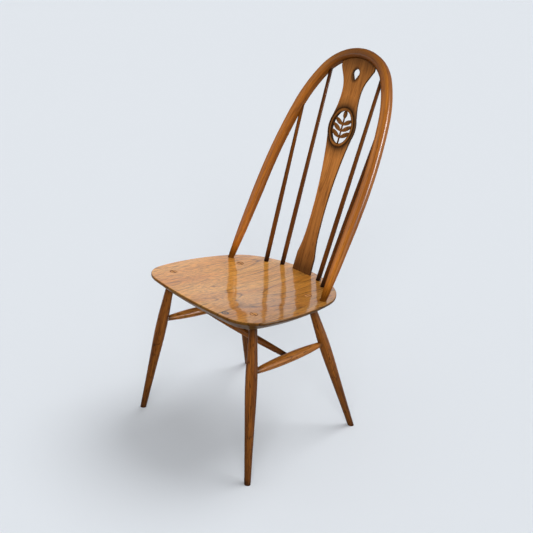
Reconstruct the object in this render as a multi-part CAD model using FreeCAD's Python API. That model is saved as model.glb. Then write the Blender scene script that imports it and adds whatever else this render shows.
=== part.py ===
"""Windsor dining chair with a steam-bent bow back and a pierced splat.

Millimetres. +Z is up, the sitter faces -Y, and +X is the sitter's left. Everything is laid out
from the middle of the seat's front edge. The finished chair is then moved so that the origin lies
on the floor under the middle of its box.
"""
import FreeCAD
import Part
import math
import os

from FreeCAD import Vector

# Gap left for glue at every joint
GLUE_GAP = 0.1

# Seat: a solid board that falls to the back, dished on top and bevelled below
SEAT_WIDTH = 414.0
SEAT_DEPTH = 438.0
SEAT_FRONT_HEIGHT = 432.0
SEAT_FALL = 4.4
SEAT_THICKNESS = 28.0
SEAT_EDGE = 6.5
SEAT_BEVEL = 28.0
SEAT_TOP_ROUND = 2.5
SEAT_LOWER_ROUND = 4.0
SEAT_RIM = 18.0
SEAT_DISH = 9.0
SEAT_DISH_BORDER = 0.5
SEAT_DISH_STEPS = 16
# Plan of each half of the seat, front to back: arcs, and the heading at the end of each
SEAT_CORNER_RADIUS = 80.0
SEAT_HIP_RADIUS = 154.0
SEAT_FRONT_TURN = 6.7
SEAT_CORNER_TURN = 80.8
SEAT_SIDE_TURN = 103.9
SEAT_HIP_TURN = 149.6

# Legs: feet stand out past the seat's sides, and tenons come up through it further in
FRONT_FOOT_OUT = 7.0
FRONT_FOOT_BACK = 40.0
FRONT_TENON_IN = 57.0
FRONT_TENON_BACK = 80.0
BACK_FOOT_OUT = 5.0
BACK_FOOT_BEHIND = 3.0
BACK_TENON_IN = 80.0
BACK_TENON_FORWARD = 144.0
LEG_TENON_DIAMETER = 19.5
# Turned shape of a leg from the foot to the seat: share of the way up, and diameter there
LEG_SHAPE = (
    (0.0, 16.2),
    (0.27, 21.4),
    (0.53, 27.8),
    (0.62, 29.2),
    (0.7, 29.4),
    (0.765, 28.3),
    (0.88, 23.8),
    (1.0, LEG_TENON_DIAMETER),
)
LEG_SWELL_DIAMETER = max(diameter for share, diameter in LEG_SHAPE)

# Wedges that spread the leg tenons from above and the bow ends from below
WEDGE_LENGTH = 20.0
WEDGE_HEAD = 3.2
WEDGE_TIP = 0.8

# Stretchers, each end at its own distance below the seat
FRONT_STRETCHER_DROP = 143.5
BACK_STRETCHER_DROP = 138.0
SIDE_STRETCHER_DIAMETER = 25.0
SIDE_TENON_DIAMETER = 13.5
CROSS_STRETCHER_DIAMETER = 19.0
CROSS_TENON_DIAMETER = 12.5
STRETCHER_LEVEL_RUN = 18.0
TENON_PAST_AXIS = 2.5

# Splat: a flat board from the seat to the crown of the bow
SPLAT_HEIGHT = 600.0
SPLAT_FORWARD = 29.0
SPLAT_BACK = SEAT_DEPTH - SPLAT_FORWARD
SPLAT_THICKNESS = 6.5
SPLAT_EDGE_ROUND = 1.5
SPLAT_TENON_DEPTH = 13.0
SPLAT_TENON_SHOULDER = 5.0
SPLAT_GROOVE_DEPTH = 8.0
SPLAT_FOOT_WIDTH = 65.2
SPLAT_FOOT_FLARE = -1.6
# Edge of the splat from the seat up: shares of its height, each with a turn, outward when
# positive. A share is the radius of an arc, or the length of a straight run that has no turn.
SPLAT_EDGE = (
    (0.0733, 0.0),
    (0.0633, -12.0),
    (0.533, 10.5),
    (1.903, 11.4),
    (0.867, 3.7),
    (0.26, -26.8),
    (0.317, 15.9),
    (0.148, 27.7),
    (0.04, 0.0),
    (0.02, -28.8),
)

# Bow: straight limbs, then a side, a shoulder and a crown arc on each half
BOW_IN = 34.5
BOW_FORWARD = 136.5
BOW_SPREAD = SEAT_WIDTH - 2 * BOW_IN
BOW_BACK = SEAT_DEPTH - BOW_FORWARD
BOW_LEAN = 24.4
BOW_OVER_SPLAT = 25.0
BOW_RISE = SPLAT_HEIGHT + BOW_OVER_SPLAT
BOW_LIMB_TURN = 1.0
BOW_SIDE_RADIUS = 1240.0
BOW_SIDE_TURN = 11.4
BOW_SHOULDER_RADIUS = 335.0
BOW_SHOULDER_TURN = 31.0
BOW_SIZE = 26.5
BOW_CORNER = 9.5
BOW_END_DIAMETER = 16.0
BOW_END_SHOULDER = 0.5
BOW_END_CORNER = 8.0
# Taper of a limb: its share of the straight, then shares of the way up and of the growth there
BOW_TAPER_SHARE = 0.84
BOW_TAPER = ((0.0, 0.0), (0.4, 0.6), (1.0, 1.0))

# Spindles: spreads as shares of the seat's width, and of the bow's at the top
OUTER_SPINDLE_SHARE = 0.512
OUTER_SPINDLE_FORWARD = 62.0
OUTER_SPINDLE_TOP_SHARE = 0.79
INNER_SPINDLE_SHARE = 0.326
INNER_SPINDLE_FORWARD = 36.0
INNER_SPINDLE_TOP_SHARE = 0.495
SPINDLE_DIAMETER = 12.8
SPINDLE_PLAIN_RUN = 150.0
SPINDLE_MIDDLE_DIAMETER = 11.0
SPINDLE_TOP_DIAMETER = 9.6
SPINDLE_TOP_RUN = 60.0
SPINDLE_SOCKET = 16.0

# Oval medallion on a boss of the splat, pierced around a sprig of leaves
MEDALLION_HEIGHT = 0.673 * SPLAT_HEIGHT
OVAL_HALF_WIDTH = 30.5
OVAL_HALF_HEIGHT = 43.5
OVAL_END_RADIUS = 24.0
BOSS_BORDER = 4.8
BEAD_DIAMETER = 9.0
BEAD_RAISE = 2.0
BEAD_GROOVE = 1.4
STEM_DIAMETER = 4.4
LEAF_WIDTH = 11.0
LEAF_EDGE = 3.6
LEAF_RIDGE = 7.6
LEAF_PAIRS = 3
LEAF_PITCH = 17.0
LEAF_START = 15.0
LEAF_ANGLE = 58.0

# Teardrop hole in the head of the splat
TEARDROP_HEIGHT = 0.912 * SPLAT_HEIGHT
TEARDROP_RADIUS = 10.5
TEARDROP_LENGTH = 22.0

X_AXIS = Vector(1, 0, 0)
Z_AXIS = Vector(0, 0, 1)
ORIGIN = Vector(0, 0, 0)
# Spare length of shapes that only trim others
REACH = 80.0


def on_seat(across, back, above=0.0):
    """Point given across the seat, back from its front edge and above the level of its rim."""
    fall = math.radians(SEAT_FALL)
    return Vector(
        across,
        back * math.cos(fall) + above * math.sin(fall),
        SEAT_FRONT_HEIGHT - back * math.sin(fall) + above * math.cos(fall),
    )


def set_on_seat(shape):
    """Lay a shape drawn on a level seat onto the falling one."""
    shape.rotate(ORIGIN, X_AXIS, -SEAT_FALL)
    shape.translate(Vector(0, 0, SEAT_FRONT_HEIGHT))
    return shape


def stand_up(shape, foot, lean):
    """Stand a shape drawn on the XY plane on a point, leaning back from the upright."""
    shape.rotate(ORIGIN, X_AXIS, 90.0 - lean)
    shape.translate(foot)
    return shape


def mirrored(shape):
    """The same piece for the other side of the chair."""
    return shape.mirror(ORIGIN, X_AXIS)


def line(start, end):
    return Part.LineSegment(start, end).toShape()


def arc_through(start, middle, end):
    return Part.Arc(start, middle, end).toShape()


def arc_point(centre, radius, angle):
    return centre.add(Vector(radius * math.cos(angle), radius * math.sin(angle), 0))


def bent(centre, radius, begin, end):
    """Arc between two angles."""
    return arc_through(*[arc_point(centre, radius, angle) for angle in (begin, (begin + end) / 2, end)])


def rod(start, end, diameter):
    """Plain round rod between two points."""
    run = end.sub(start)
    return Part.makeCylinder(diameter / 2, run.Length, start, run)


def station(distance, diameter):
    """Point of a turned outline."""
    return Vector(diameter / 2, 0, distance)


def turned(start, toward, edges, parts=1):
    """Turn an outline about the line from start toward a point, in equal parts of a turn.

    The outline lies on XZ, with X as the radius and Z as the distance along the line, and its
    first and last points are joined to the line. A piece that is bored from the side has a
    lighter mesh when it is made in parts.
    """
    first = edges[0].firstVertex(True).Point
    last = edges[-1].lastVertex(True).Point
    low = Vector(0, 0, first.z)
    high = Vector(0, 0, last.z)
    outline = [line(low, first)] + edges + [line(last, high), line(high, low)]
    solid = Part.Face(Part.Wire(outline)).revolve(ORIGIN, Z_AXIS, 360 / parts)
    others = []
    for i in range(1, parts):
        other = solid.copy()
        other.rotate(ORIGIN, Z_AXIS, 360 * i / parts)
        others.append(other)
    if others:
        solid = solid.fuse(others)
    solid.Placement = FreeCAD.Placement(start, FreeCAD.Rotation(Z_AXIS, toward.sub(start)))
    return solid


def swept(section, arcs):
    """Carry a section round arcs. It is drawn on XZ, with X pointing out from the arc's line."""
    pieces = []
    for centre, radius, begin, end in arcs:
        piece = section.copy()
        piece.translate(Vector(radius, 0, 0))
        piece = piece.revolve(ORIGIN, Z_AXIS, math.degrees(end - begin))
        piece.rotate(ORIGIN, Z_AXIS, math.degrees(begin))
        piece.translate(centre)
        pieces.append(piece)
    return pieces


def rounded_wire(corners):
    """Closed wire through corners, each given with the radius that rounds it."""
    turns = []
    for i in range(len(corners)):
        point, radius = corners[i]
        before = corners[i - 1][0].sub(point).normalize()
        after = corners[(i + 1) % len(corners)][0].sub(point).normalize()
        half = before.getAngle(after) / 2
        reach = radius / math.tan(half)
        inward = (before + after).normalize() * (radius / math.sin(half) - radius)
        turns.append((point + before * reach, point + inward, point + after * reach))
    edges = []
    for i in range(len(turns)):
        enter, middle, leave = turns[i]
        following = turns[(i + 1) % len(turns)][0]
        if corners[i][1] > 0:
            edges.append(arc_through(enter, middle, leave))
        if leave.distanceToPoint(following) > GLUE_GAP:
            edges.append(line(leave, following))
    return Part.Wire(edges)


def rounded_box(wide, tall, radius):
    """Closed wire round a rounded rectangle on XZ, about the origin."""
    signs = ((1, -1), (1, 1), (-1, 1), (-1, -1))
    return rounded_wire([(Vector(x * wide / 2, 0, z * tall / 2), radius) for x, z in signs])


def seat_radii():
    """Radii of the front, side and back arcs that give the seat its width and depth."""
    turns = (SEAT_FRONT_TURN, SEAT_CORNER_TURN, SEAT_SIDE_TURN, SEAT_HIP_TURN)
    front, corner, side, hip = [math.radians(turn) for turn in turns]
    front_rise = math.tan(front / 2)
    back_rise = math.tan((math.pi - hip) / 2)
    front_width = SEAT_WIDTH / 2 - SEAT_CORNER_RADIUS * (math.sin(corner) - math.sin(front))
    back_width = SEAT_WIDTH / 2 + SEAT_HIP_RADIUS * (math.sin(hip) - math.sin(side))
    depth = SEAT_DEPTH - SEAT_CORNER_RADIUS * (math.cos(front) - math.cos(corner))
    depth = depth - SEAT_HIP_RADIUS * (math.cos(side) - math.cos(hip))
    front_share = 1 - math.sin(corner)
    back_share = 1 - math.sin(side)
    per_radius = math.cos(corner) - math.cos(side) - front_share * front_rise - back_share * back_rise
    side_radius = (depth - front_width * front_rise - back_width * back_rise) / per_radius
    front_radius = (front_width - side_radius * front_share) / math.sin(front)
    back_radius = (back_width - side_radius * back_share) / math.sin(hip)
    return front_radius, side_radius, back_radius


def seat_arcs(set_in):
    """Centre, radius, start and end angle of the arcs round the seat's plan, all set in."""
    front_radius, side_radius, back_radius = seat_radii()
    radii = (front_radius, SEAT_CORNER_RADIUS, side_radius, SEAT_HIP_RADIUS, back_radius)
    turns = (0.0, SEAT_FRONT_TURN, SEAT_CORNER_TURN, SEAT_SIDE_TURN, SEAT_HIP_TURN, 180.0)
    point = ORIGIN
    left = []
    for radius, start, stop in zip(radii, turns, turns[1:]):
        begin = math.radians(start - 90)
        end = math.radians(stop - 90)
        centre = point - arc_point(ORIGIN, radius, begin)
        left.append((centre, radius - set_in, begin, end))
        point = arc_point(centre, radius, end)
    right = []
    for centre, radius, begin, end in reversed(left):
        right.append((Vector(-centre.x, centre.y, 0), radius, math.pi - end, math.pi - begin))
    return left + right


def seat_body(top):
    """Seat before it is dished, up to a level above the rim: rounded over and bevelled below."""
    band = SEAT_BEVEL + SEAT_LOWER_ROUND
    edge = rounded_wire([
        (Vector(-band, 0, -SEAT_THICKNESS), 0),
        (Vector(-SEAT_BEVEL, 0, -SEAT_THICKNESS), 0),
        (Vector(0, 0, -SEAT_EDGE), SEAT_LOWER_ROUND),
        (Vector(0, 0, top), SEAT_TOP_ROUND),
        (Vector(-band, 0, top), 0),
    ])
    core = Part.Face(Part.Wire([bent(*arc) for arc in seat_arcs(band)]))
    core.translate(Vector(0, 0, -SEAT_THICKNESS))
    core = core.extrude(Vector(0, 0, SEAT_THICKNESS + top))
    return core.fuse(swept(Part.Face(edge), seat_arcs(0))).removeSplitter()


def dish_level(across, back):
    """Level of the dish against the rim: hollow inside an oval, and a hair higher outside it."""
    wide = SEAT_WIDTH / 2 - SEAT_RIM
    long = SEAT_DEPTH / 2 - SEAT_RIM
    inside = 1 - (across / wide) ** 2 - (back / long) ** 2
    inside = max(inside, -SEAT_DISH_BORDER / 2)
    return -SEAT_DISH * inside * (inside + SEAT_DISH_BORDER) / (1 + SEAT_DISH_BORDER)


def dish(raised):
    """Everything above the dish of a level seat, raised a little."""
    grid = []
    for i in range(SEAT_DISH_STEPS + 1):
        across = (i / SEAT_DISH_STEPS - 0.5) * (SEAT_WIDTH + REACH)
        row = []
        for j in range(SEAT_DISH_STEPS + 1):
            back = (j / SEAT_DISH_STEPS - 0.5) * (SEAT_DEPTH + REACH)
            row.append(Vector(across, SEAT_DEPTH / 2 + back, raised + dish_level(across, back)))
        grid.append(row)
    surface = Part.BSplineSurface()
    surface.interpolate(grid)
    return surface.toShape().extrude(Vector(0, 0, REACH / 2))


def seat_slab(low, high):
    """Slab wider than the seat, between two levels above its rim."""
    wide = SEAT_WIDTH + REACH
    return Part.makeBox(wide, SEAT_DEPTH + REACH, high - low, Vector(-wide / 2, -REACH / 2, low))


def room_above_seat():
    """Everything above the top of the seat."""
    return set_on_seat(seat_slab(0, REACH / 2).fuse(dish(0)))


def room_below_seat_top(raised):
    """Everything below the top of the seat, raised a little."""
    return set_on_seat(seat_slab(-REACH, raised).cut(dish(raised)))


def make_seat():
    """Dished seat, before the sockets are bored."""
    return set_on_seat(seat_body(0).cut(dish(0)))


def wedge_blank(head, outward, width, gap):
    """Tapered wedge driven in at its head, with spare length outside to trim flush."""
    spare = WEDGE_LENGTH / 2
    taper = (WEDGE_HEAD - WEDGE_TIP) / WEDGE_LENGTH
    tip = WEDGE_TIP / 2 + gap
    top = (WEDGE_HEAD + taper * spare) / 2 + gap
    depth = WEDGE_LENGTH + gap
    corners = [
        Vector(-width / 2, -tip, -depth),
        Vector(-width / 2, tip, -depth),
        Vector(-width / 2, top, spare),
        Vector(-width / 2, -top, spare),
    ]
    solid = Part.Face(Part.makePolygon(corners + corners[:1])).extrude(Vector(width, 0, 0))
    solid.Placement = FreeCAD.Placement(head, FreeCAD.Rotation(Z_AXIS, outward))
    return solid


def make_leg(foot, head, room):
    """Turned leg cut level at the floor, its tenon flush with the seat and sawn for the wedge."""
    run = head - foot
    entry = run.Length - SEAT_THICKNESS - LEG_TENON_DIAMETER / 2
    shape = [station(share * entry, diameter) for share, diameter in LEG_SHAPE]
    outline = [
        line(shape[0] - Vector(0, 0, LEG_TENON_DIAMETER), shape[0]),
        arc_through(*shape[0:3]),
        arc_through(*shape[2:5]),
        line(*shape[4:6]),
        arc_through(*shape[5:8]),
        line(shape[7], station(run.Length + LEG_TENON_DIAMETER, LEG_TENON_DIAMETER)),
    ]
    floor = Part.makeBox(REACH, REACH, REACH, foot - Vector(REACH / 2, REACH / 2, REACH))
    kerf = wedge_blank(head, run, 2 * LEG_TENON_DIAMETER, GLUE_GAP)
    return turned(foot, head, outline).cut([floor, room, kerf])


def make_leg_wedge(foot, head, room):
    """Wedge in the top of a leg, trimmed to the tenon and to the seat."""
    run = head - foot
    up = run * (REACH / run.Length)
    tenon = rod(head - up, head + up, LEG_TENON_DIAMETER)
    return wedge_blank(head, run, 2 * LEG_TENON_DIAMETER, 0).common(tenon).cut(room)


def stretcher_point(foot, head, drop):
    """Where a leg's axis lies a distance below the plane of the seat's rim."""
    normal = on_seat(0, 0, 1) - on_seat(0, 0)
    low = (foot - on_seat(0, 0)).dot(normal)
    high = (head - on_seat(0, 0)).dot(normal)
    share = (-drop - low) / (high - low)
    return foot + (head - foot) * share


def make_stretcher(start, end, middle, tenon, clear, parts=1):
    """Cigar-shaped stretcher between two axes, with round tenons that pass them a little."""
    length = (end - start).Length
    level = length / 2 - STRETCHER_LEVEL_RUN / 2
    between = middle - (middle - tenon) / 4

    def swell(side):
        return arc_through(
            station(length / 2 - side * (length / 2 - clear), tenon),
            station(length / 2 - side * (length / 2 - clear + STRETCHER_LEVEL_RUN / 2) / 2, between),
            station(length / 2 - side * STRETCHER_LEVEL_RUN / 2, middle),
        )

    outline = [
        line(station(-TENON_PAST_AXIS, tenon), station(clear, tenon)),
        swell(1),
        line(station(level, middle), station(length - level, middle)),
        swell(-1),
        line(station(length - clear, tenon), station(length + TENON_PAST_AXIS, tenon)),
    ]
    return turned(start, end, outline, parts)


def socket(start, end, tenon):
    """Bore for the stretcher's tenon at its start, with room for glue."""
    along = (end - start).normalize()
    deep = TENON_PAST_AXIS + GLUE_GAP
    return rod(start - along * deep, start + along * REACH, tenon + 2 * GLUE_GAP)


def bow_foot():
    """Middle of the line that joins the two ends of the bow on the seat."""
    return on_seat(0, BOW_BACK)


def bow_lengths():
    """Length of a straight limb and radius of the crown that give the bow its spread and rise."""
    turns = (BOW_LIMB_TURN, BOW_SIDE_TURN, BOW_SHOULDER_TURN)
    limb, side, shoulder = [math.radians(turn) for turn in turns]
    across = BOW_SPREAD / 2 - BOW_SIDE_RADIUS * (math.cos(limb) - math.cos(side))
    across = across - BOW_SHOULDER_RADIUS * (math.cos(side) - math.cos(shoulder))
    rise = BOW_RISE - BOW_SIDE_RADIUS * (math.sin(side) - math.sin(limb))
    rise = rise - BOW_SHOULDER_RADIUS * (math.sin(shoulder) - math.sin(side))
    left_over = 1 - math.sin(shoulder)
    scale = math.cos(limb) * math.cos(shoulder) - math.sin(limb) * left_over
    straight = (rise * math.cos(shoulder) - across * left_over) / scale
    crown = (across * math.cos(limb) - rise * math.sin(limb)) / scale
    return straight, crown


def bow_arcs():
    """Centre, radius, start and end angle of the arcs on the left half, in the plane of the bow."""
    straight, crown = bow_lengths()
    radii = (BOW_SIDE_RADIUS, BOW_SHOULDER_RADIUS, crown)
    turns = (BOW_LIMB_TURN, BOW_SIDE_TURN, BOW_SHOULDER_TURN, 90.0)
    limb = math.radians(BOW_LIMB_TURN)
    point = Vector(BOW_SPREAD / 2 - straight * math.sin(limb), straight * math.cos(limb), 0)
    arcs = []
    for radius, start, stop in zip(radii, turns, turns[1:]):
        begin = math.radians(start)
        end = math.radians(stop)
        centre = point - arc_point(ORIGIN, radius, begin)
        arcs.append((centre, radius, begin, end))
        point = arc_point(centre, radius, end)
    return arcs


def bow_point(across):
    """Point on the bow's centre line, by its distance from the middle of the chair."""
    for centre, radius, begin, end in bow_arcs():
        if arc_point(centre, radius, end).x <= across:
            angle = math.acos((across - centre.x) / radius)
            height = arc_point(centre, radius, angle).y
            return bow_foot() + up_bow() * height + Vector(across, 0, 0)
    raise ValueError("no such point on the bow")


def up_bow():
    """Direction up the middle of the bow, in its plane."""
    lean = math.radians(BOW_LEAN)
    return Vector(0, math.sin(lean), math.cos(lean))


def up_limb():
    """Direction up the left limb, which leans in toward the middle."""
    turn = math.radians(BOW_LIMB_TURN)
    return up_bow() * math.cos(turn) - X_AXIS * math.sin(turn)


def bow_end(gap):
    """Round end of the left limb, long enough to pass right through the seat."""
    foot = on_seat(BOW_SPREAD / 2, BOW_BACK)
    up = up_limb()
    return rod(foot - up * REACH, foot + up * (BOW_END_DIAMETER / 2), BOW_END_DIAMETER + 2 * gap)


def bow_wedge_blank(gap):
    """Wedge driven up into the left end of the bow."""
    up = up_limb()
    square = up.dot(on_seat(0, 0, 1) - on_seat(0, 0))
    head = on_seat(BOW_SPREAD / 2, BOW_BACK) - up * (SEAT_THICKNESS / square)
    return wedge_blank(head, up * -1, 2 * BOW_END_DIAMETER, gap)


def limb_section(height, growth):
    """Rounded square section of a limb at a height up it, from its least size to its full one."""
    least = BOW_END_DIAMETER + 2 * BOW_END_SHOULDER
    size = least + growth * (BOW_SIZE - least)
    wire = rounded_box(size, size, BOW_END_CORNER + growth * (BOW_CORNER - BOW_END_CORNER))
    wire.translate(Vector(0, height, 0))
    return wire


def straight_limb():
    """Left limb from its shoulder, growing to full size, up to the first arc."""
    straight = bow_lengths()[0]
    taper = BOW_TAPER_SHARE * straight
    shoulder = BOW_END_DIAMETER / 2
    sections = [limb_section(shoulder + way * (taper - shoulder), growth) for way, growth in BOW_TAPER]
    plain = Part.Face(limb_section(taper, 1)).extrude(Vector(0, straight - taper, 0))
    pieces = [Part.makeLoft(sections, True, True), plain]
    for piece in pieces:
        piece.rotate(ORIGIN, Z_AXIS, BOW_LIMB_TURN)
        piece.translate(Vector(BOW_SPREAD / 2, 0, 0))
    return pieces


def make_bow(blank):
    """Bent hoop with tapered limbs and round ends that pass through the seat."""
    section = Part.Face(rounded_box(BOW_SIZE, BOW_SIZE, BOW_CORNER))
    pieces = swept(section, bow_arcs()) + straight_limb()
    half = pieces[0].fuse(pieces[1:])
    half = stand_up(half, bow_foot(), BOW_LEAN)
    end = bow_end(0).common(blank).cut(bow_wedge_blank(GLUE_GAP))
    half = half.fuse(end)
    return half.fuse(mirrored(half)).removeSplitter()


def make_spindle(base, top):
    """Stick that stands in a socket in the seat and tapers to its end inside the bow."""
    length = (top - base).Length
    taper = length - SPINDLE_TOP_RUN
    low = station(SPINDLE_PLAIN_RUN, SPINDLE_DIAMETER)
    middle = station((SPINDLE_PLAIN_RUN + taper) / 2, SPINDLE_MIDDLE_DIAMETER)
    high = station(taper, SPINDLE_TOP_DIAMETER)
    outline = [
        line(station(-SPINDLE_SOCKET, SPINDLE_DIAMETER), low),
        arc_through(low, middle, high),
        line(high, station(length, SPINDLE_TOP_DIAMETER)),
    ]
    return turned(base, top, outline)


def spindle_sockets(base, top):
    """Bores for a spindle, in the seat and in the bow, with room for glue."""
    along = (top - base).normalize()
    deep = SPINDLE_SOCKET + GLUE_GAP
    low = rod(base - along * deep, base + along * deep, SPINDLE_DIAMETER + 2 * GLUE_GAP)
    run = along * SPINDLE_TOP_RUN
    high = rod(top - run, top + along * GLUE_GAP, SPINDLE_TOP_DIAMETER + 2 * GLUE_GAP)
    return low, high


def splat_lean():
    """Lean that carries the board from the seat to the underside of the crown."""
    centre, radius, begin, end = bow_arcs()[-1]
    top = bow_foot() + up_bow() * (centre.y + radius - BOW_SIZE / 2)
    run = top - on_seat(0, SPLAT_BACK)
    return math.degrees(math.atan2(run.y, run.z))


def set_splat(shape):
    """Stand a shape drawn on the face of the splat in its place."""
    return stand_up(shape, on_seat(0, SPLAT_BACK), splat_lean())


def beyond_crown(gap):
    """Everything over the top of the bow that lies past the bottom of the splat's groove."""
    centre, radius, begin, end = bow_arcs()[-1]
    bottom = radius - BOW_SIZE / 2 + SPLAT_GROOVE_DEPTH + gap
    low = centre - Vector(0, 0, REACH)
    wide = Part.makeCylinder(bottom + SPLAT_HEIGHT, 2 * REACH, low, Z_AXIS, 180)
    return stand_up(wide.cut(Part.makeCylinder(bottom, 2 * REACH, low)), bow_foot(), BOW_LEAN)


def splat_edge(gap):
    """Left edge of the splat from below the seat's top to its head, moved out by a gap."""

    def outward(turn):
        return Vector(math.cos(turn), -math.sin(turn), 0)

    def onward(turn):
        return Vector(math.sin(turn), math.cos(turn), 0)

    heading = math.radians(SPLAT_FOOT_FLARE)
    point = Vector(SPLAT_FOOT_WIDTH / 2, 0, 0)
    first = point + outward(heading) * gap
    edges = [line(first - onward(heading) * (REACH / 2), first)]
    for share, degrees in SPLAT_EDGE:
        size = share * SPLAT_HEIGHT
        if degrees == 0:
            start = point + outward(heading) * gap
            edges.append(line(start, start + onward(heading) * size))
            point = point + onward(heading) * size
        else:
            radius = math.copysign(size, degrees)
            centre = point + outward(heading) * radius
            turns = [heading + math.radians(degrees) * way for way in (0, 0.5, 1)]
            edges.append(arc_through(*[centre - outward(turn) * (radius - gap) for turn in turns]))
            heading = turns[-1]
            point = centre - outward(heading) * radius
    last = point + outward(heading) * gap
    rest = (SPLAT_HEIGHT - last.y) / math.cos(heading)
    edges.append(line(last, last + onward(heading) * rest))
    return edges


def splat_board(gap):
    """Shaped board of the splat, run on below the seat's top, with a gap added all round."""
    left = splat_edge(gap)
    right = [mirrored(edge) for edge in left]
    foot = left[0].firstVertex(True).Point
    head = left[-1].lastVertex(True).Point
    across = [line(end, Vector(-end.x, end.y, 0)) for end in (foot, head)]
    wire = Part.Wire(Part.__sortEdges__(left + right + across))
    thick = SPLAT_THICKNESS + 2 * gap
    board = Part.Face(wire).extrude(Vector(0, 0, thick))
    board.translate(Vector(0, 0, -thick / 2))
    return board


def splat_tenon(gap):
    """Tenon that holds the foot of the splat in the seat."""
    wide = SPLAT_FOOT_WIDTH - 2 * SPLAT_TENON_SHOULDER + 2 * gap
    thick = SPLAT_THICKNESS + 2 * gap
    deep = SPLAT_TENON_DEPTH + gap
    return Part.makeBox(wide, deep + SPLAT_THICKNESS, thick, Vector(-wide / 2, -deep, -thick / 2))


def oval_arcs(out):
    """Centre, radius, start and end angle of the opening's four arcs, all a distance further out."""
    drop = OVAL_HALF_HEIGHT - OVAL_END_RADIUS
    narrow = OVAL_HALF_WIDTH - OVAL_END_RADIUS
    side = (OVAL_HALF_WIDTH ** 2 + drop ** 2 - OVAL_END_RADIUS ** 2) / (2 * narrow)
    reach = side - OVAL_HALF_WIDTH
    turn = math.atan2(drop, reach)
    middle = Vector(0, MEDALLION_HEIGHT, 0)
    return (
        (middle + Vector(-reach, 0, 0), side + out, -turn, turn),
        (middle + Vector(0, drop, 0), OVAL_END_RADIUS + out, turn, math.pi - turn),
        (middle + Vector(reach, 0, 0), side + out, math.pi - turn, math.pi + turn),
        (middle + Vector(0, -drop, 0), OVAL_END_RADIUS + out, math.pi + turn, 2 * math.pi - turn),
    )


def boss():
    """Oval board with rounded edges that carries the bead past the sides of the splat."""
    face = Part.Face(Part.Wire([bent(*arc) for arc in oval_arcs(BEAD_DIAMETER + BOSS_BORDER)]))
    face.translate(Vector(0, 0, -SPLAT_THICKNESS / 2))
    board = face.extrude(Vector(0, 0, SPLAT_THICKNESS))
    rims = [edge for edge in board.Edges if edge.BoundBox.ZLength < SPLAT_EDGE_ROUND]
    return board.makeFillet(SPLAT_EDGE_ROUND, rims)


def opening():
    """Oval hole through the medallion."""
    face = Part.Face(Part.Wire([bent(*arc) for arc in oval_arcs(0)]))
    face.translate(Vector(0, 0, -REACH / 2))
    return face.extrude(Vector(0, 0, REACH))


def bead():
    """Rounded moulding around the opening that stands proud of both faces."""
    tall = SPLAT_THICKNESS + 2 * BEAD_RAISE
    section = Part.Face(rounded_box(BEAD_DIAMETER, tall, BEAD_DIAMETER / 2))
    return swept(section, oval_arcs(BEAD_DIAMETER / 2))


def grooves():
    """Sharp grooves in both faces along the outside of the bead."""
    face = SPLAT_THICKNESS / 2
    rings = []
    for side in (1, -1):
        corners = [
            Vector(0, 0, side * (face - BEAD_GROOVE)),
            Vector(BEAD_GROOVE, 0, side * (face + BEAD_GROOVE)),
            Vector(-BEAD_GROOVE, 0, side * (face + BEAD_GROOVE)),
        ]
        section = Part.Face(Part.makePolygon(corners + corners[:1]))
        rings.extend(swept(section, oval_arcs(BEAD_DIAMETER)))
    return rings


def leaf(height, angle, length):
    """Pointed leaf with a ridge along it: what two bevelled discs side by side have in common."""
    half = length / 2
    wide = LEAF_WIDTH / 2
    radius = (half ** 2 + wide ** 2) / (2 * wide)
    inner = radius - wide
    corners = [
        Vector(0, 0, -LEAF_RIDGE / 2),
        Vector(inner, 0, -LEAF_RIDGE / 2),
        Vector(radius, 0, -LEAF_EDGE / 2),
        Vector(radius, 0, LEAF_EDGE / 2),
        Vector(inner, 0, LEAF_RIDGE / 2),
        Vector(0, 0, LEAF_RIDGE / 2),
    ]
    disc = Part.Face(Part.makePolygon(corners + corners[:1])).revolve(ORIGIN, Z_AXIS, 360)
    other = disc.copy()
    disc.translate(Vector(inner, half, 0))
    other.translate(Vector(-inner, half, 0))
    blade = disc.common(other)
    blade.rotate(ORIGIN, Z_AXIS, -angle)
    blade.translate(Vector(0, MEDALLION_HEIGHT + height, 0))
    return blade


def way_to_bead(height, angle):
    """Distance from a point on the stem, along a direction, into the bead."""
    wide = OVAL_HALF_WIDTH + BEAD_DIAMETER / 4
    tall = OVAL_HALF_HEIGHT + BEAD_DIAMETER / 4
    out = math.sin(math.radians(angle))
    up = math.cos(math.radians(angle))
    square = (out / wide) ** 2 + (up / tall) ** 2
    linear = height * up / tall ** 2
    rest = (height / tall) ** 2 - 1
    return (math.sqrt(linear ** 2 - square * rest) - linear) / square


def sprig():
    """Stem with pairs of leaves and one at its top, all running into the bead."""
    foot = -OVAL_HALF_HEIGHT
    heights = [foot + LEAF_START + i * LEAF_PITCH for i in range(LEAF_PAIRS + 1)]
    middle = Vector(0, MEDALLION_HEIGHT, 0)
    low = middle + Vector(0, foot - BEAD_DIAMETER / 4, 0)
    high = middle + Vector(0, heights[-1] + STEM_DIAMETER, 0)
    pieces = [rod(low, high, STEM_DIAMETER)]
    for height in heights[:-1]:
        for angle in (LEAF_ANGLE, -LEAF_ANGLE):
            pieces.append(leaf(height, angle, way_to_bead(height, angle)))
    pieces.append(leaf(heights[-1], 0, way_to_bead(heights[-1], 0)))
    return pieces


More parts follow.
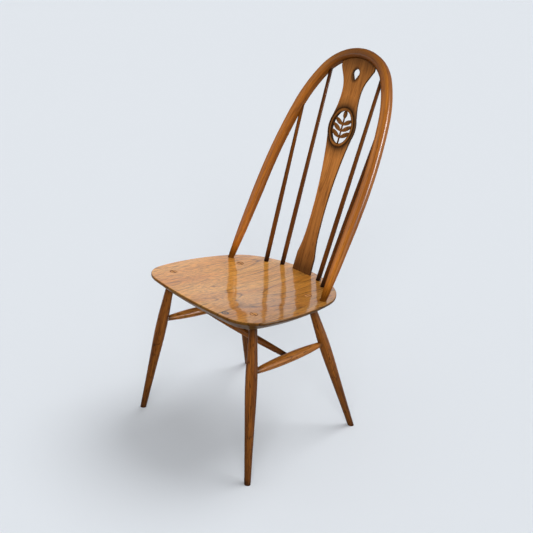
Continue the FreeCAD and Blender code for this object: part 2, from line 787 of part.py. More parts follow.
def teardrop():
    """Drop-shaped hole, round at the top and drawn to a point below."""
    turn = math.acos(TEARDROP_RADIUS / TEARDROP_LENGTH)
    side = Vector(TEARDROP_RADIUS * math.sin(turn), -TEARDROP_RADIUS * math.cos(turn), 0)
    other = Vector(-side.x, side.y, 0)
    tip = Vector(0, -TEARDROP_LENGTH, 0)
    arc = arc_through(side, Vector(0, TEARDROP_RADIUS, 0), other)
    drop = Part.Face(Part.Wire([line(tip, side), arc, line(other, tip)])).extrude(Vector(0, 0, REACH))
    drop.translate(Vector(0, TEARDROP_HEIGHT, -REACH / 2))
    return drop


def make_splat(below):
    """Board with rounded edges, its pierced medallion and its teardrop."""
    board = splat_board(0)
    sides = [edge for edge in board.Edges if edge.BoundBox.YLength > SPLAT_THICKNESS]
    board = board.makeFillet(SPLAT_EDGE_ROUND, sides)
    board = board.fuse(boss()).cut([opening(), teardrop()] + grooves())
    board = board.fuse(bead() + sprig())
    board = set_splat(board).cut([below, beyond_crown(0)])
    return board.fuse(set_splat(splat_tenon(0))).removeSplitter()


def single(shape):
    """The one solid of a finished piece."""
    if len(shape.Solids) != 1:
        raise ValueError("a piece came out as %d solids" % len(shape.Solids))
    return shape.Solids[0]


def leg_ends():
    """Foot and head of the left legs' axes."""
    side = SEAT_WIDTH / 2
    return {
        "front": (
            Vector(side + FRONT_FOOT_OUT, FRONT_FOOT_BACK, 0),
            on_seat(side - FRONT_TENON_IN, FRONT_TENON_BACK),
        ),
        "back": (
            Vector(side + BACK_FOOT_OUT, SEAT_DEPTH + BACK_FOOT_BEHIND, 0),
            on_seat(side - BACK_TENON_IN, SEAT_DEPTH - BACK_TENON_FORWARD),
        ),
    }


def spindle_ends():
    """Base on the seat and top in the bow of the left spindles' axes."""
    side = SEAT_WIDTH / 2
    limb = BOW_SPREAD / 2
    return {
        "outer": (
            on_seat(OUTER_SPINDLE_SHARE * side, SEAT_DEPTH - OUTER_SPINDLE_FORWARD),
            bow_point(OUTER_SPINDLE_TOP_SHARE * limb),
        ),
        "inner": (
            on_seat(INNER_SPINDLE_SHARE * side, SEAT_DEPTH - INNER_SPINDLE_FORWARD),
            bow_point(INNER_SPINDLE_TOP_SHARE * limb),
        ),
    }


def build():
    """All pieces, left ones first and their mirror images after them."""
    room = room_above_seat()
    blank = set_on_seat(seat_body(REACH / 2))
    legs = leg_ends()
    left = {}
    seat_cuts = [bow_end(GLUE_GAP)]
    bow_cuts = []

    fore = stretcher_point(*legs["front"], FRONT_STRETCHER_DROP)
    aft = stretcher_point(*legs["back"], BACK_STRETCHER_DROP)
    middle = (fore + aft) * 0.5
    across = Vector(-middle.x, middle.y, middle.z)
    swell = LEG_SWELL_DIAMETER / 2
    side = make_stretcher(fore, aft, SIDE_STRETCHER_DIAMETER, SIDE_TENON_DIAMETER, swell, parts=4)
    left["side_stretcher"] = side.cut(socket(middle, across, CROSS_TENON_DIAMETER))
    swell = SIDE_STRETCHER_DIAMETER / 2
    cross = make_stretcher(middle, across, CROSS_STRETCHER_DIAMETER, CROSS_TENON_DIAMETER, swell)

    bores = {
        "front": socket(fore, aft, SIDE_TENON_DIAMETER),
        "back": socket(aft, fore, SIDE_TENON_DIAMETER),
    }
    for place, (foot, head) in legs.items():
        left["leg_" + place] = make_leg(foot, head, room).cut(bores[place])
        left["wedge_leg_" + place] = make_leg_wedge(foot, head, room)
        up = (head - foot).normalize() * REACH
        seat_cuts.append(rod(head - up, head + up, LEG_TENON_DIAMETER + 2 * GLUE_GAP))

    left["wedge_bow"] = bow_wedge_blank(0).common(bow_end(0)).common(blank)

    for place, (base, top) in spindle_ends().items():
        left["spindle_" + place] = make_spindle(base, top)
        low, high = spindle_sockets(base, top)
        seat_cuts.append(low)
        bow_cuts.append(high)

    seat_cuts.extend([mirrored(cut) for cut in seat_cuts])
    seat_cuts.append(set_splat(splat_tenon(GLUE_GAP)))
    bow_cuts.extend([mirrored(cut) for cut in bow_cuts])
    bow_cuts.append(set_splat(splat_board(GLUE_GAP)).cut(beyond_crown(GLUE_GAP)))

    parts = {
        "seat": make_seat().cut(seat_cuts),
        "bow": make_bow(blank).cut(bow_cuts),
        "splat": make_splat(room_below_seat_top(GLUE_GAP)),
        "cross_stretcher": cross,
    }
    for name, shape in left.items():
        parts[name + "_left"] = shape
        parts[name + "_right"] = mirrored(shape)
    return {name: single(shape) for name, shape in parts.items()}


def main():
    """Build the chair, put its origin under the middle of its box and write the pieces."""
    parts = build()
    box = FreeCAD.BoundBox()
    for shape in parts.values():
        box.add(shape.optimalBoundingBox(False))
    os.makedirs("parts", exist_ok=True)
    for name, shape in parts.items():
        shape.translate(Vector(0, -box.Center.y, 0))
        shape.exportStep("parts/%s.step" % name)
        print("%-24s valid %s  volume %10.1f" % (name, shape.isValid(), shape.Volume))
    print("size %.1f x %.1f x %.1f" % (box.XLength, box.YLength, box.ZLength))


main()
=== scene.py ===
import math

import bpy
import numpy as np
from mathutils import Matrix, Vector

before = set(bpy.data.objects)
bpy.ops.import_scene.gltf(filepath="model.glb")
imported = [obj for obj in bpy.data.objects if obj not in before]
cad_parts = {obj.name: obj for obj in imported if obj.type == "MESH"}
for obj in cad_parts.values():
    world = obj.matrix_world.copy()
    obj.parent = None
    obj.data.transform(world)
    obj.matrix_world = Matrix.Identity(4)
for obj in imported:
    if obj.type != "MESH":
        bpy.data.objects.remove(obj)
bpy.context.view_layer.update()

# Camera: where it stands and how it looks, in the frame of the chair
CAMERA_PLACE = Vector((1.22978, -1.31557, 1.18983))
CAMERA_TURN = 43.509
CAMERA_HEIGHT_ANGLE = 22.531
CAMERA_ROLL = 4.959
CAMERA_LENS = 50.198

# Studio: a pale floor without end and even light from all round
PALE_GREY = (225, 230, 236)
FLOOR_RETURN = (130, 132, 134)
FLOOR_SIZE = 80.0
ROUND_LIGHT = 0.445
PLAIN_WHITE = (1.0, 1.0, 1.0, 1.0)

# Far lamps, hidden from gloss: brightness on a white floor, way the light travels, softness in degrees
FAR_LAMPS = {
    "back_lamp": (0.35, Vector((-0.045, -0.205, -0.42)), 36.0),
    "front_lamp": (0.21, Vector((-0.63, 0.68, -0.38)), 34.0),
}
LAMP_PLACE = Vector((0.0, 0.0, 2.0))

# Strip lamps, seen in gloss alone: place in metres and power in watts
STRIPS = {
    "right_strip": (Vector((4.0, 2.0, 1.7)), 130.0),
    "left_strip": (Vector((-2.6, -3.0, 1.9)), 5.0),
}
STRIP_AIM = Vector((0.0, 0.1, 0.7))
STRIP_WIDTH = 0.9
STRIP_HEIGHT = 2.4
STRIP_SPREAD = 60.0

# Wood of every piece: detail, stretch and ramp stops of its clouds, growth lines, fine lines and pores
CLOUD_DETAIL = 3.0
CLOUD_MIDDLE_AT = 0.36
CLOUD_PALE_AT = 0.64
GROWTH_DETAIL = 1.0
GROWTH_STOPS = ((0.0, 0.0), (0.1, 1.0), (0.93, 0.88), (1.0, 0.0))
BREAK_DETAIL = 2.0
BREAK_STRETCH = (6.0, 90.0)
BREAK_STOPS = ((0.44, 0.0), (0.62, 1.0))
FINE_LINE_DETAIL = 3.0
FINE_LINE_ROUGHNESS = 0.6
FINE_LINE_STRETCH = (8.0, 520.0)
FINE_LINE_STOPS = ((0.34, 0.0), (0.6, 1.0))
PORE_DETAIL = 1.0
PORE_STOPS = ((0.3, 0.0), (0.4, 1.0))

# Sticks: shift of the grain from one to the next, and the share along X past which a stick lies across
STICK_GRAIN_SHIFT = (0.37, 0.61, 0.23)
LIES_ACROSS = 0.9

# Seat: wandering grain, painted shade by how far a face looks away from up, a side-to-side darkening that is
# partly stain and partly painted shade, wavy lacquer and a knot
SEAT_GRAIN = (0.0, 1.0, 0.0)
SEAT_GRAIN_SHIFT = (0.0, 0.3, 0.0)
SEAT_NOISE_DETAIL = 1.0
SEAT_WANDER = 6.0
SEAT_WANDER_PUSH = (0.0, 0.014, 0.0)
SEAT_RIM_PAINTED_SHADE = ((0.0, 0.28), (0.45, 0.3), (0.9, 0.6), (0.985, 1.0))
SEAT_SIDE_SPAN = 0.5
SEAT_SIDE_STAIN_AND_SHADE = ((0.1, 1.0), (0.5, 0.9), (0.95, 0.57))
SEAT_LACQUER_FROM = 0.86
SEAT_LACQUER_FULL = 0.975
SEAT_WAVES = 22.0
SEAT_WAVE_HEIGHT = 0.0016
SEAT_WAVE_STRENGTH = 0.5
KNOT_PLACE = Vector((0.113, -0.263, 0.4303))
KNOT_SIZE = 0.0105
KNOT_RINGS = ((0.2, 0.2), (0.4, 0.7), (0.58, 0.05), (0.8, 0.2), (1.0, 1.0))

# Bow: lean, thickness, radius and degrees of its bends from the crown down, painted shade on the inner side,
# and fading polish
BOW_LEAN = 24.4
BOW_SIZE = 0.0265
BOW_BENDS = ((0.12, 59.0), (0.335, 19.6), (1.24, 10.4))
BOW_STEP = 0.002
BOW_INNER_PAINTED_SHADE = ((0.0, 0.6), (0.06, 0.9), (0.15, 1.0))
BOW_POLISHED_TO = 0.1
BOW_DULL_FROM = 0.06

# Splat: shares of its length up to the medallion and the teardrop, their half sizes, and dark edges; the
# darkening in the medallion's grooves, around its ring and the teardrop and on the edges is painted shade
SPLAT_GRAIN_SHIFT = (0.0, 0.17, 0.0)
MEDALLION_UP = 0.687
MEDALLION_HALF = (0.0525, 0.0395)
MEDALLION_REACH = 1.6
SPRIG_DARKENING = ((0.0, 0.5), (0.45, 0.34))
BEAD_TONE_AND_GROOVE_SHADE = ((0.505, 0.1), (0.54, 0.6), (0.58, 0.5), (0.625, 0.08))
RING_HALO_PAINTED_SHADE = ((0.67, 0.22), (0.8, 0.7), (1.0, 1.0))
TEARDROP_UP = 0.917
TEARDROP_HALF = (0.017, 0.012)
TEARDROP_REACH = 1.35
TEARDROP_PAINTED_SHADE = ((0.7, 0.35), (1.0, 1.0))
SPLAT_EDGE_PAINTED_SHADE = ((0.35, 1.0), (0.75, 0.35))

# Leg tenons, flush with the seat: colours of the end, partly end grain and partly a painted sheen, and of
# its rim, radius, and how deep the colour goes
TENON_COLOUR_AND_SHEEN = (202, 144, 86)
TENON_RIM = (124, 76, 36)
TENON_RIM_FROM = 0.7
TENON_RIM_FULL = 0.9
TENON_RADIUS = 0.00975
TENON_SHOWS = 0.012

# Finishes: colours are the pale, middle and dark tone, the greys by length are painted shade towards the
# ends where pieces meet (and a darker bow crown), and the rest is as wood and by_distance say
SEAT_FINISH = dict(
    slot="seat_wood",
    colours=((255, 181, 84), (234, 152, 59), (46, 20, 4)),
    clouds=(2.0, 26.0), growth=(0.8, 8.0), rings=16.0, pores=(40.0, 420.0), marks=(0.75, 0.55, 0.42),
    roughness=0.36, specular=0.06, coat=1.0, coat_roughness=0.08,
)
BOW_FINISH = dict(
    slot="bow_wood",
    colours=((196, 119, 38), (168, 95, 25), (70, 34, 8)),
    clouds=(3.0, 60.0), growth=(1.6, 26.0), rings=8.0, pores=(45.0, 450.0), marks=(0.45, 0.4, 0.4),
    roughness=0.4, specular=0.0, coat=0.3, coat_roughness=0.32,
    darkening_by_length=((0.0, 0.4), (0.06, 0.5), (0.18, 1.0), (-0.075, 1.0), (-0.04, 0.35)),
)
SPLAT_FINISH = dict(
    slot="splat_wood",
    colours=((214, 140, 68), (188, 117, 52), (84, 42, 14)),
    clouds=(3.0, 55.0), growth=(1.6, 24.0), rings=7.0, pores=(45.0, 450.0), marks=(0.5, 0.35, 0.4),
    roughness=0.42, specular=0.03, coat=0.0, coat_roughness=0.2,
    darkening_by_length=(
        (0.025, 0.22), (0.05, 0.4), (0.1, 0.62), (0.2, 0.88), (0.32, 1.0),
        (-0.1, 0.92), (-0.05, 0.7), (-0.012, 0.3),
    ),
)
SPINDLE_FINISH = dict(
    slot="bow_wood",
    colours=((124, 70, 21), (98, 51, 13), (40, 18, 4)),
    clouds=(4.0, 80.0), growth=(2.0, 40.0), rings=4.0, pores=(45.0, 450.0), marks=(0.5, 0.4, 0.4),
    roughness=0.4, specular=0.03, coat=0.02, coat_roughness=0.1,
    darkening_by_length=((0.018, 0.1), (0.07, 1.0), (-0.06, 1.0), (-0.018, 0.3)),
)
LEG_FINISH = dict(
    slot="leg_wood",
    colours=((160, 96, 38), (120, 67, 22), (28, 12, 3)),
    clouds=(5.0, 70.0), growth=(3.0, 34.0), rings=16.0, pores=(60.0, 330.0), marks=(0.7, 0.5, 0.65),
    roughness=0.4, specular=0.04, coat=0.06, coat_roughness=0.1,
    darkening_by_length=((0.0, 0.2), (0.018, 0.5), (0.12, 0.72), (0.25, 1.0), (-0.07, 0.95), (-0.034, 0.3), (-0.03, 0.3)),
)
CROSS_STRETCHER_FINISH = dict(
    LEG_FINISH,
    darkening_by_length=((0.012, 0.15), (0.04, 1.0), (-0.04, 1.0), (-0.012, 0.15)),
)
SIDE_STRETCHER_FINISH = dict(
    CROSS_STRETCHER_FINISH,
    colours=((204, 130, 54), (170, 102, 36), (56, 26, 6)),
)
WEDGE_FINISH = dict(
    slot="wedge_wood",
    colours=((126, 78, 38), (108, 64, 29), (60, 33, 11)),
    clouds=(8.0, 90.0), growth=(4.0, 60.0), rings=3.0, pores=(45.0, 450.0), marks=(0.3, 0.3, 0.3),
    roughness=0.4, specular=0.03, coat=0.1, coat_roughness=0.15,
    darkening_by_length=((0.0, 1.0), (-0.001, 1.0)),
)
STICK_FINISHES = {
    "leg": LEG_FINISH,
    "side": SIDE_STRETCHER_FINISH,
    "cross": CROSS_STRETCHER_FINISH,
    "spindle": SPINDLE_FINISH,
    "wedge": WEDGE_FINISH,
}


def shade(red, green, blue):
    """Linear colour of a screen colour given from 0 to 255."""
    screen = np.array((red, green, blue)) / 255
    light = np.where(screen > 0.04045, ((screen + 0.055) / 1.055) ** 2.4, screen / 12.92)
    return tuple(light.tolist()) + (1.0,)


def add(tree, kind, inputs, **settings):
    """Shader node of a kind, with its settings; an input is a value or another node's output."""
    made = tree.nodes.new("ShaderNode" + kind)
    for name, value in settings.items():
        setattr(made, name, value)
    for name, value in inputs.items():
        if isinstance(value, bpy.types.NodeSocket):
            tree.links.new(value, made.inputs[name])
        else:
            made.inputs[name].default_value = value
    return made


def ramp(tree, factor, *stops):
    """Output of a colour ramp with stops, each a place and a colour or a grey."""
    made = add(tree, "ValToRGB", {"Fac": factor})
    elements = made.color_ramp.elements
    while len(elements) < len(stops):
        elements.new(0.5)
    for element, (place, colour) in zip(elements, stops):
        element.position = place
        element.color = colour if isinstance(colour, tuple) else (colour, colour, colour, 1.0)
    return made.outputs["Color"]


def mixed(tree, share, first, second, how="MIX"):
    """Output that mixes two colours, which the node takes at inputs 6 and 7 and gives at output 2."""
    inputs = {0: share, 6: first, 7: second}
    return add(tree, "Mix", inputs, data_type="RGBA", blend_type=how).outputs[2]


def darkened(tree, colour, share):
    """Colour times a share."""
    return mixed(tree, 1.0, colour, share, "MULTIPLY")


def worked(tree, how, first, second=0.0):
    """Output of one sum on two numbers."""
    return add(tree, "Math", {0: first, 1: second}, operation=how).outputs[0]


def vector_worked(tree, how, first, second=(0.0, 0.0, 0.0)):
    """Outputs of one sum on two vectors."""
    return add(tree, "VectorMath", {0: first, 1: second}, operation=how).outputs


def part_of(tree, vector, axis):
    """One of the three numbers in a vector."""
    return add(tree, "SeparateXYZ", {"Vector": vector}).outputs[axis]


def across_share(tree, offset, span):
    """Share of the way across a span: the offset from its middle over the span, plus a half."""
    return worked(tree, "ADD", worked(tree, "DIVIDE", offset, span), 0.5)


def grain_noise(tree, along, stretch, detail, roughness=0.5):
    """Noise drawn out along the grain: (cells per metre along it, cells per metre across it)."""
    cells_along, cells_across = stretch
    scale = (cells_along, cells_across, cells_across)
    drawn = add(tree, "Mapping", {"Vector": along, "Scale": scale}).outputs["Vector"]
    noise = {"Vector": drawn, "Scale": 1.0, "Detail": detail, "Roughness": roughness}
    return add(tree, "TexNoise", noise).outputs["Fac"]


def growth_lines(tree, along, stretch, count):
    """Thin dark lines, broken in places, where a noise along the grain passes evenly spaced levels."""
    level = worked(tree, "MULTIPLY", grain_noise(tree, along, stretch, GROWTH_DETAIL), count)
    line = ramp(tree, worked(tree, "FRACT", level), *GROWTH_STOPS)
    broken = ramp(tree, grain_noise(tree, along, BREAK_STRETCH, BREAK_DETAIL), *BREAK_STOPS)
    return mixed(tree, broken, line, PLAIN_WHITE)


def wood(tree, along, finish):
    """Colour of a stained wood along its grain: soft clouds, growth lines, fine lines and dark pores.

    The finish gives its clouds, growth and pores as cells per metre along and across the grain, its rings
    as the number of levels that make growth lines, and its marks as the strengths of the growth lines, the
    fine lines and the pores. Each mark mixes the dark tone into the colour by its strength.
    """
    pale, middle, dark = [shade(*colour) for colour in finish["colours"]]
    clouds = grain_noise(tree, along, finish["clouds"], CLOUD_DETAIL)
    colour = ramp(tree, clouds, (CLOUD_MIDDLE_AT, middle), (CLOUD_PALE_AT, pale))
    growth = growth_lines(tree, along, finish["growth"], finish["rings"])
    fine = grain_noise(tree, along, FINE_LINE_STRETCH, FINE_LINE_DETAIL, FINE_LINE_ROUGHNESS)
    fine = ramp(tree, fine, *FINE_LINE_STOPS)
    pores = ramp(tree, grain_noise(tree, along, finish["pores"], PORE_DETAIL), *PORE_STOPS)
    for strength, marks in zip(finish["marks"], (growth, fine, pores)):
        colour = mixed(tree, strength, colour, mixed(tree, marks, dark, colour))
    return colour


def new_material(name):
    """Material with a node tree, its tree and its surface shader."""
    material = bpy.data.materials.new(name)
    material.use_nodes = True
    return material, material.node_tree, material.node_tree.nodes["Principled BSDF"]


def vertices(piece):
    """Corners of a piece's mesh, one row each."""
    points = np.empty(len(piece.data.vertices) * 3, np.float32)
    piece.data.vertices.foreach_get("co", points)
    return points.reshape(-1, 3).astype(float)


def lengthwise(piece, direction=None):
    """Axes of a piece along, beside and off its main line, its low end, its length and its middle.

    Without a direction, the main line is the one along which the corners spread most.
    """
    points = vertices(piece)
    if direction is None:
        direction = np.linalg.svd(points - points.mean(axis=0), full_matrices=False)[2][0]
        direction = direction * (-1 if direction[np.abs(direction).argmax()] < 0 else 1)
    along = Vector(direction).normalized()
    beside = Vector((0, 1, 0)) if abs(along.x) > LIES_ACROSS else Vector((1, 0, 0))
    beside = (beside - along * beside.dot(along)).normalized()
    axes = Matrix((along, beside, along.cross(beside)))
    reach = points @ np.array(along)
    low = float(reach.min())
    length = float(reach.max()) - low
    return axes, low, length, Vector(points.mean(axis=0).tolist())


def along_piece(tree, axes, low, middle, shift):
    """Place on a piece as (distance up its main line, beside it, off it), and that shifted for its grain."""
    off = axes @ middle
    place = add(tree, "TexCoord", {}).outputs["Object"]
    start = Vector((-low, -off.y, -off.z))
    turned = {"Vector": place, "Rotation": axes.to_euler(), "Location": start}
    own = add(tree, "Mapping", turned).outputs["Vector"]
    return own, add(tree, "Mapping", {"Vector": own, "Location": shift}).outputs["Vector"]


def by_distance(tree, distance, length, stops):
    """Grey by distance up a piece; each stop is metres from its low end, or its high end if negative."""
    share = worked(tree, "DIVIDE", distance, length)
    places = [((stop if stop >= 0 else length + stop) / length, grey) for stop, grey in stops]
    return ramp(tree, share, *places)


def oval_share(tree, own, centre, half, reach):
    """Distance from the middle of an oval on a piece's face, 1 where the painted shade around it ends."""
    scale = Vector((1 / (half[0] * reach), 1 / (half[1] * reach), 0.0))
    start = Vector((-centre * scale.x, 0.0, 0.0))
    placed = add(tree, "Mapping", {"Vector": own, "Scale": scale, "Location": start}).outputs["Vector"]
    return vector_worked(tree, "LENGTH", placed)["Value"]


def finish_piece(piece, finish, material, colour):
    """Give a piece its one material, with its colour and gloss."""
    tree = material.node_tree
    surface = tree.nodes["Principled BSDF"]
    tree.links.new(colour, surface.inputs["Base Color"])
    surface.inputs["Roughness"].default_value = finish["roughness"]
    surface.inputs["Specular IOR Level"].default_value = finish["specular"]
    surface.inputs["Coat Weight"].default_value = finish["coat"]
    surface.inputs["Coat Roughness"].default_value = finish["coat_roughness"]
    piece.data.materials.clear()
    piece.data.materials.append(material)


def seat_noise(tree, own, scale):
    """Outputs of a soft noise over the seat, with its scale in cells per metre."""
    return add(tree, "TexNoise", {"Vector": own, "Scale": scale, "Detail": SEAT_NOISE_DETAIL}).outputs


def dress_seat(piece):
    """Seat: grain from front to back, painted shade at the rim, darker to the left partly by stain and
    partly by painted shade, wavy lacquer on top and a knot.
    """
    material, tree, surface = new_material("seat_finish")
    axes, low, _, middle = lengthwise(piece, SEAT_GRAIN)
    own, along = along_piece(tree, axes, low, middle, SEAT_GRAIN_SHIFT)
    wander = seat_noise(tree, own, SEAT_WANDER)["Color"]
    push = vector_worked(tree, "MULTIPLY", wander, SEAT_WANDER_PUSH)["Vector"]
    colour = wood(tree, vector_worked(tree, "ADD", along, push)["Vector"], SEAT_FINISH)
    coords = add(tree, "TexCoord", {}).outputs
    facing_up = part_of(tree, coords["Normal"], "Z")
    # Painted shade: the rim and the underside, which look less up, are darkened.
    colour = darkened(tree, colour, ramp(tree, facing_up, *SEAT_RIM_PAINTED_SHADE))
    # Darker towards +X, the chair's left: partly a stain across the seat, partly painted shade.
    beside = across_share(tree, part_of(tree, own, "Y"), SEAT_SIDE_SPAN)
    colour = darkened(tree, colour, ramp(tree, beside, *SEAT_SIDE_STAIN_AND_SHADE))
    lacquer = ramp(tree, facing_up, (SEAT_LACQUER_FROM, 0.0), (SEAT_LACQUER_FULL, SEAT_FINISH["coat"]))
    tree.links.new(lacquer, surface.inputs["Coat Weight"])
    waves = seat_noise(tree, own, SEAT_WAVES)["Fac"]
    wavy = {"Height": waves, "Strength": SEAT_WAVE_STRENGTH, "Distance": SEAT_WAVE_HEIGHT}
    tree.links.new(add(tree, "Bump", wavy).outputs["Normal"], surface.inputs["Coat Normal"])
    near = vector_worked(tree, "DISTANCE", coords["Object"], KNOT_PLACE)["Value"]
    colour = darkened(tree, colour, ramp(tree, worked(tree, "DIVIDE", near, KNOT_SIZE), *KNOT_RINGS))
    finish_piece(piece, SEAT_FINISH, material, colour)


def bend_grain(piece):
    """Store on each corner of the bow its length along the bend, its place outward and its place forward.

    The middle line starts at the crown and turns down through its bends to a straight limb: its heading
    is the sum of step over radius, its points the sums of the steps along the heading. Each corner takes
    the values of the nearest point of the line, on either side of the chair. Returns the longest length.
    """
    points = vertices(piece)
    lean = math.radians(BOW_LEAN)
    across = np.abs(points[:, 0])
    up = points[:, 1] * math.sin(lean) + points[:, 2] * math.cos(lean)
    forward = points[:, 1] * math.cos(lean) - points[:, 2] * math.sin(lean)
    turns = []
    for radius, turn in BOW_BENDS:
        steps = int(round(radius * math.radians(turn) / BOW_STEP))
        turns.append(np.full(steps, BOW_STEP / radius))
    turns.append(np.zeros(int((up.max() - up.min()) / BOW_STEP)))
    heading = np.cumsum(np.concatenate(turns))
    line_across = np.cumsum(np.cos(heading)) * BOW_STEP
    line_up = up.max() - BOW_SIZE / 2 - np.cumsum(np.sin(heading)) * BOW_STEP
    gap = (across[:, None] - line_across) ** 2 + (up[:, None] - line_up) ** 2
    nearest = gap.argmin(axis=1)
    outward = (across - line_across[nearest]) * np.sin(heading[nearest])
    outward = outward + (up - line_up[nearest]) * np.cos(heading[nearest])
    length = nearest * BOW_STEP * np.where(points[:, 0] < 0, -1.0, 1.0)
    grain = np.stack((length, outward, forward - forward.mean()), axis=1).astype(np.float32)
    stored = piece.data.attributes.new("bend_grain", "FLOAT_VECTOR", "POINT")
    stored.data.foreach_set("vector", grain.ravel())
    return float(np.abs(length).max())


def dress_bow(piece):
    """Bow: grain along the bend, darker at the crown, painted shade inside the bend and at the ends where it
    meets the seat, which are dull.
    """
    material, tree, surface = new_material("bow_finish")
    length = bend_grain(piece)
    along = add(tree, "Attribute", {}, attribute_name="bend_grain").outputs["Vector"]
    colour = wood(tree, along, BOW_FINISH)
    down = worked(tree, "ABSOLUTE", part_of(tree, along, "X"))
    # Darker at the crown, and painted shade at the ends where the limbs meet the seat.
    colour = darkened(tree, colour, by_distance(tree, down, length, BOW_FINISH["darkening_by_length"]))
    polish = ((-BOW_POLISHED_TO, BOW_FINISH["coat"]), (-BOW_DULL_FROM, 0.0))
    tree.links.new(by_distance(tree, down, length, polish), surface.inputs["Coat Weight"])
    # Painted shade: the inner side of the bend is darkened.
    outward = across_share(tree, part_of(tree, along, "Y"), BOW_SIZE)
    colour = darkened(tree, colour, ramp(tree, outward, *BOW_INNER_PAINTED_SHADE))
    finish_piece(piece, BOW_FINISH, material, colour)


def dress_splat(piece):
    """Splat: grain up the board, with painted shade at its ends, its edges, the medallion and the teardrop,
    and a darker sprig.
    """
    material, tree, _ = new_material("splat_finish")
    axes, low, length, middle = lengthwise(piece)
    own, along = along_piece(tree, axes, low, middle, SPLAT_GRAIN_SHIFT)
    colour = wood(tree, along, SPLAT_FINISH)
    # Painted shade at the foot in the seat and at the top under the bow.
    darkening_by_length = by_distance(tree, part_of(tree, own, "X"), length, SPLAT_FINISH["darkening_by_length"])
    colour = darkened(tree, colour, darkening_by_length)
    # Medallion: darker over the sprig, the bead a darker tone, painted shade in the grooves each side of the
    # bead and as a halo around the ring.
    about = oval_share(tree, own, MEDALLION_UP * length, MEDALLION_HALF, MEDALLION_REACH)
    colour = darkened(tree, colour, ramp(tree, about, *SPRIG_DARKENING, *BEAD_TONE_AND_GROOVE_SHADE, *RING_HALO_PAINTED_SHADE))
    # Painted shade around the teardrop opening.
    about = oval_share(tree, own, TEARDROP_UP * length, TEARDROP_HALF, TEARDROP_REACH)
    colour = darkened(tree, colour, ramp(tree, about, *TEARDROP_PAINTED_SHADE))
    # Painted shade on the board's side faces.
    sideways = part_of(tree, add(tree, "TexCoord", {}).outputs["Normal"], "X")
    colour = darkened(tree, colour, ramp(tree, worked(tree, "ABSOLUTE", sideways), *SPLAT_EDGE_PAINTED_SHADE))
    finish_piece(piece, SPLAT_FINISH, material, colour)


def tenon_end(tree, colour, own, distance, length):
    """Colour of a leg with its tenon's end at the top: paler in the middle, partly end grain and partly a
    painted sheen, with a darker rim.
    """
    depth = worked(tree, "SUBTRACT", length, distance)
    head = ramp(tree, depth, (TENON_SHOWS, 1.0), (2 * TENON_SHOWS, 0.0))
    aside = vector_worked(tree, "MULTIPLY", own, (0.0, 1.0, 1.0))["Vector"]
    reach = worked(tree, "DIVIDE", vector_worked(tree, "LENGTH", aside)["Value"], TENON_RADIUS)
    # The end's colour is paled as a painted sheen, standing in for the seat's lacquer.
    rim = ((TENON_RIM_FROM, shade(*TENON_COLOUR_AND_SHEEN)), (TENON_RIM_FULL, shade(*TENON_RIM)))
    return mixed(tree, head, colour, ramp(tree, reach, *rim))


def dress_stick(name, piece, shift):
    """Leg, stretcher, spindle or wedge: grain along it, with painted shade by distance from its ends."""
    material, tree, _ = new_material(name + "_finish")
    finish = STICK_FINISHES[name.split("_")[0]]
    axes, low, length, middle = lengthwise(piece)
    own, along = along_piece(tree, axes, low, middle, shift)
    distance = part_of(tree, own, "X")
    # Painted shade near the ends where a stick meets the floor, the seat or another piece; flat for a wedge.
    darkening_by_length = by_distance(tree, distance, length, finish["darkening_by_length"])
    colour = darkened(tree, wood(tree, along, finish), darkening_by_length)
    if name.startswith("leg"):
        colour = tenon_end(tree, colour, own, distance, length)
    finish_piece(piece, finish, material, colour)


def dress_chair():
    """Materials of all the pieces; a stick's grain is shifted by its place in the list of names."""
    boards = {"seat": dress_seat, "bow": dress_bow, "splat": dress_splat}
    for place, (name, piece) in enumerate(sorted(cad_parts.items())):
        if name in boards:
            boards[name](piece)
        else:
            dress_stick(name, piece, [step * place for step in STICK_GRAIN_SHIFT])


def seen_ray(tree):
    """1 for a ray from the eye, from a reflection or through glass, 0 for one that carries light about."""
    ray = add(tree, "LightPath", {}).outputs
    seen = worked(tree, "ADD", ray["Is Camera Ray"], ray["Is Glossy Ray"])
    return worked(tree, "MINIMUM", worked(tree, "ADD", seen, ray["Is Transmission Ray"]), 1.0)


def make_floor():
    """Square floor at the feet: pale to the eye and in reflections, duller in the light it returns."""
    half = FLOOR_SIZE / 2
    corners = [(-half, -half, 0), (half, -half, 0), (half, half, 0), (-half, half, 0)]
    mesh = bpy.data.meshes.new("floor")
    mesh.from_pydata(corners, [], [(0, 1, 2, 3)])
    floor = bpy.data.objects.new("floor", mesh)
    bpy.context.scene.collection.objects.link(floor)
    material, tree, surface = new_material("floor_paint")
    paint = mixed(tree, seen_ray(tree), shade(*FLOOR_RETURN), shade(*PALE_GREY))
    tree.links.new(paint, surface.inputs["Base Color"])
    surface.inputs["Roughness"].default_value = 1.0
    surface.inputs["Specular IOR Level"].default_value = 0.0
    mesh.materials.append(material)


def hang(name, light, place, travel):
    """Put a lamp in its place, shining the way it travels, and hand it back."""
    hung = bpy.data.objects.new(name, light)
    hung.location = place
    hung.rotation_euler = travel.to_track_quat("-Z", "Y").to_euler()
    bpy.context.scene.collection.objects.link(hung)
    return hung


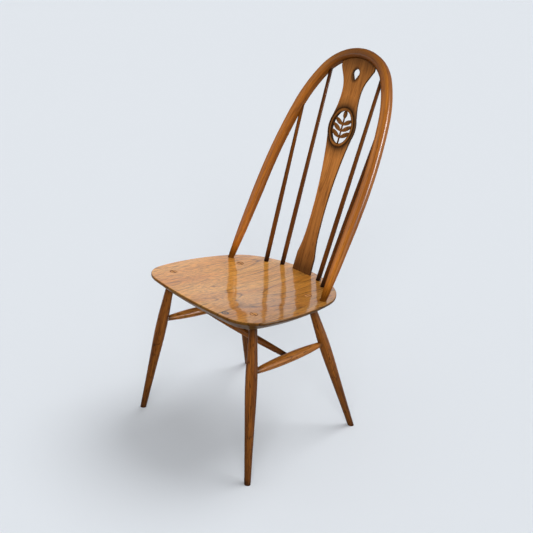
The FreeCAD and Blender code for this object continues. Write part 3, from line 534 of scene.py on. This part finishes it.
def light_studio():
    """Even white light all round, seen as pale grey, with the far lamps and the strips.

    The power of a far lamp is its brightness on a white floor times pi, over the downward share of its way.
    """
    world = bpy.data.worlds.new("studio")
    bpy.context.scene.world = world
    world.use_nodes = True
    tree = world.node_tree
    tree.nodes.clear()
    lit = add(tree, "Background", {"Color": PLAIN_WHITE, "Strength": ROUND_LIGHT})
    backdrop = add(tree, "Background", {"Color": shade(*PALE_GREY), "Strength": 1.0})
    both = add(tree, "MixShader", {0: seen_ray(tree), 1: lit.outputs[0], 2: backdrop.outputs[0]})
    add(tree, "OutputWorld", {"Surface": both.outputs[0]})
    for name, (brightness, travel, softness) in FAR_LAMPS.items():
        lamp = bpy.data.lights.new(name, "SUN")
        lamp.energy = brightness * math.pi / -travel.normalized().z
        lamp.angle = math.radians(softness)
        hang(name, lamp, LAMP_PLACE, travel).visible_glossy = False
    for name, (place, power) in STRIPS.items():
        strip = bpy.data.lights.new(name, "AREA")
        strip.shape = "RECTANGLE"
        strip.size = STRIP_WIDTH
        strip.size_y = STRIP_HEIGHT
        strip.energy = power
        strip.spread = math.radians(STRIP_SPREAD)
        hang(name, strip, place, STRIP_AIM - place).visible_diffuse = False


def place_camera():
    """Camera at the photograph's angle: turned about the upright, raised, and rolled a little."""
    turn = math.radians(CAMERA_TURN)
    height = math.radians(CAMERA_HEIGHT_ANGLE)
    level = math.cos(height)
    back = Vector((math.sin(turn) * level, -math.cos(turn) * level, math.sin(height)))
    right = Vector((math.cos(turn), math.sin(turn), 0))
    unrolled = Matrix((right, back.cross(right), back)).transposed()
    camera = bpy.data.cameras.new("camera")
    camera.lens = CAMERA_LENS
    camera.clip_end = 2 * FLOOR_SIZE
    stand = bpy.data.objects.new("camera", camera)
    stand.rotation_euler = (unrolled @ Matrix.Rotation(math.radians(CAMERA_ROLL), 3, "Z")).to_euler()
    stand.location = CAMERA_PLACE
    bpy.context.scene.collection.objects.link(stand)
    bpy.context.scene.camera = stand


dress_chair()
make_floor()
light_studio()
place_camera()
bpy.context.scene.view_settings.view_transform = "Standard"
